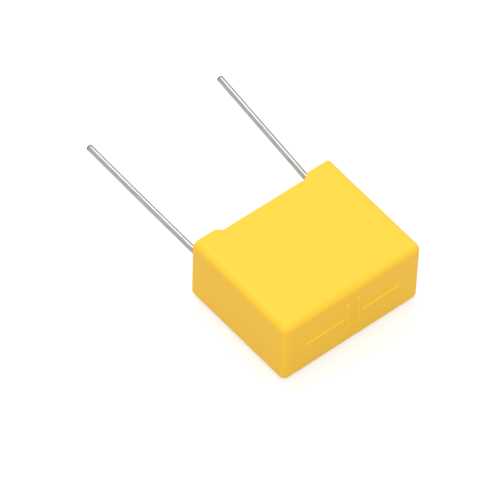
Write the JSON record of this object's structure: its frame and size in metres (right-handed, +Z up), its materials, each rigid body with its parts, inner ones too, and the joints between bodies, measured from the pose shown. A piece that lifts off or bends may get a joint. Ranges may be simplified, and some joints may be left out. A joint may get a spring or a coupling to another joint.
{
  "type": "box film capacitor",
  "caption": "Boxed film capacitor: rounded yellow moulded case with corner feet, resin-filled at the open end, and two straight tinned wire leads.",
  "frame": {"origin": "middle of the lower broad face, on which the part lies", "axes": "+X along the lead pitch, +Y out along the leads, +Z up, across the thickness of the case"},
  "size_m": [0.0187, 0.0337, 0.0084],
  "materials": {
    "case_plastic": "satin moulded flame-retardant plastic, bright yellow",
    "potting_resin": "cast epoxy, smooth, dull yellow",
    "metallised_film": "wound metallised plastic film, silvery",
    "sprayed_zinc": "flame-sprayed zinc, matt grey",
    "tinned_wire": "tin-plated wire, satin with faint drawing lines"
  },
  "bodies": {
    "root": {"case": "case_plastic", "potting_resin": "potting_resin", "film_winding": "metallised_film", "end_spray_left": "sprayed_zinc", "end_spray_right": "sprayed_zinc", "lead_left": "tinned_wire", "lead_right": "tinned_wire"}
  },
  "joints": []
}
